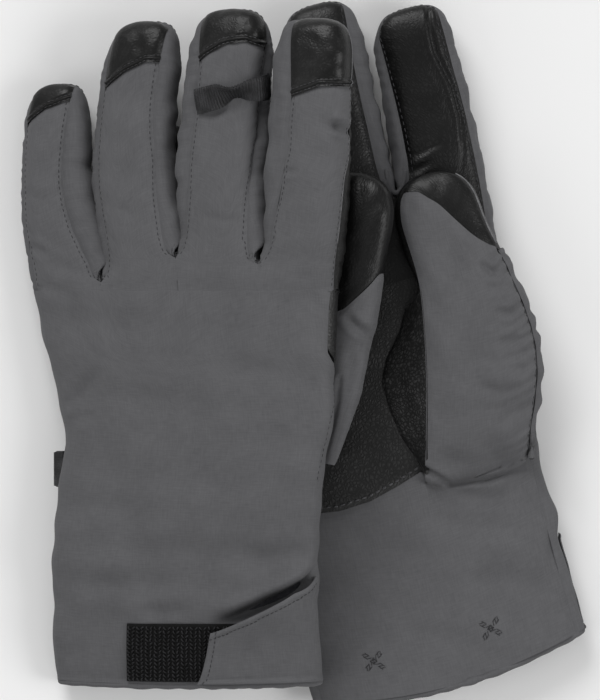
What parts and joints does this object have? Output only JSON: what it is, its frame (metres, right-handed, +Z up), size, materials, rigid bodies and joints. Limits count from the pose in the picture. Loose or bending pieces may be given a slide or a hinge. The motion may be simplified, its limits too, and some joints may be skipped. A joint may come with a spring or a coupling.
{
  "type": "insulated gloves",
  "caption": "Insulated gloves with separate fingers in grey shell fabric, black leather palms and fingertips and tab-closed cuffs, the left laid palm down across the right.",
  "frame": {"origin": "centre of the footprint of the pair on the table top, at z = 0", "axes": "+X to the right and +Y towards the fingertips in the picture, which looks straight down; +Z up"},
  "size_m": [0.2179, 0.2787, 0.0653],
  "materials": {
    "grey_shell_fabric": "matt, fine plain weave",
    "black_leather": "semi-gloss pebbled grain",
    "wadding": "lofty fibre",
    "fleece_lining": "brushed",
    "loop_fastener": "looped pile",
    "hook_fastener": "moulded hooks",
    "black_webbing": "ribbed weave",
    "tack_thread": "stitched thread"
  },
  "bodies": {
    "right_glove": {"right_back_panel": "grey_shell_fabric", "right_palm_panel": "black_leather", "right_side_gussets": "grey_shell_fabric", "right_cuff_palm": "grey_shell_fabric", "right_insulation": "wadding", "right_lining": "fleece_lining", "right_hem_binding": "grey_shell_fabric", "right_loop_pad": "loop_fastener", "right_pull_tab": "black_webbing", "right_crossed_tacks": "tack_thread", "right_hang_loop": "black_webbing", "right_finger_backs": "grey_shell_fabric", "right_finger_leathers": "black_leather", "right_finger_fourchettes": "grey_shell_fabric", "right_finger_linings": "fleece_lining"},
    "left_glove": {"left_back_panel": "grey_shell_fabric", "left_palm_panel": "black_leather", "left_side_gussets": "grey_shell_fabric", "left_cuff_palm": "grey_shell_fabric", "left_insulation": "wadding", "left_lining": "fleece_lining", "left_hem_binding": "grey_shell_fabric", "left_loop_pad": "loop_fastener", "left_pull_tab": "black_webbing", "left_crossed_tacks": "tack_thread", "left_thumb_back": "grey_shell_fabric", "left_thumb_leather": "black_leather", "left_thumb_side": "grey_shell_fabric", "left_thumb_lining": "fleece_lining"},
    "left_pinky": {"left_pinky_back": "grey_shell_fabric", "left_pinky_leather": "black_leather", "left_pinky_fourchettes": "grey_shell_fabric", "left_pinky_lining": "fleece_lining"},
    "left_ring": {"left_ring_back": "grey_shell_fabric", "left_ring_leather": "black_leather", "left_ring_fourchettes": "grey_shell_fabric", "left_ring_lining": "fleece_lining"},
    "left_middle": {"left_hang_loop": "black_webbing", "left_middle_back": "grey_shell_fabric", "left_middle_leather": "black_leather", "left_middle_fourchettes": "grey_shell_fabric", "left_middle_lining": "fleece_lining"},
    "left_index": {"left_index_back": "grey_shell_fabric", "left_index_leather": "black_leather", "left_index_fourchettes": "grey_shell_fabric", "left_index_lining": "fleece_lining"},
    "left_tab": {"left_cuff_tab": "grey_shell_fabric", "left_hook_pad": "hook_fastener"},
    "right_tab": {"right_cuff_tab": "grey_shell_fabric", "right_hook_pad": "hook_fastener"},
    "right_thumb": {"right_thumb_back": "grey_shell_fabric", "right_thumb_leather": "black_leather", "right_thumb_side": "grey_shell_fabric", "right_thumb_lining": "fleece_lining"},
    "right_index_tip": {"right_index_tip_back": "grey_shell_fabric", "right_index_tip_leather": "black_leather", "right_index_tip_fourchettes": "grey_shell_fabric", "right_index_tip_lining": "fleece_lining"}
  },
  "joints": [
    {"name": "left_glove_lift", "type": "slide", "parent": "right_glove", "child": "left_glove", "axis": [0, 0, 1], "range_m": [0, 0.12]},
    {"name": "left_pinky_bend", "type": "hinge", "parent": "left_glove", "child": "left_pinky", "pos_m": [-0.09596, 0.0343, 0.0247], "axis": [0.9239, 0, 0.3827], "range_deg": [0, 35]},
    {"name": "left_ring_bend", "type": "hinge", "parent": "left_glove", "child": "left_ring", "pos_m": [-0.06778, 0.0343, 0.03637], "axis": [0.9239, 0, 0.3827], "range_deg": [0, 35]},
    {"name": "left_middle_bend", "type": "hinge", "parent": "left_glove", "child": "left_middle", "pos_m": [-0.03706, 0.0343, 0.0491], "axis": [0.9239, 0, 0.3827], "range_deg": [0, 35]},
    {"name": "left_index_bend", "type": "hinge", "parent": "left_glove", "child": "left_index", "pos_m": [-0.00519, 0.0343, 0.0623], "axis": [0.9239, 0, 0.3827], "range_deg": [0, 35]},
    {"name": "left_tab_peel", "type": "hinge", "parent": "left_glove", "child": "left_tab", "pos_m": [0.00908, -0.126, 0.03291], "axis": [-0.0537, 0.9477, 0.3146], "range_deg": [0, 110]},
    {"name": "right_tab_peel", "type": "hinge", "parent": "right_glove", "child": "right_tab", "pos_m": [0.10834, -0.10869, 0.00996], "axis": [0.2233, -0.9748, 0.0014], "range_deg": [0, 110]},
    {"name": "right_thumb_lift", "type": "hinge", "parent": "right_glove", "child": "right_thumb", "pos_m": [0.06782, -0.04707, 0.0218], "axis": [0.9659, 0.2588, 0], "range_deg": [0, 45]},
    {"name": "right_index_flex", "type": "hinge", "parent": "right_glove", "child": "right_index_tip", "pos_m": [0.05097, 0.09159, 0.0215], "axis": [0.9659, 0.2588, 0], "range_deg": [0, 65]}
  ]
}
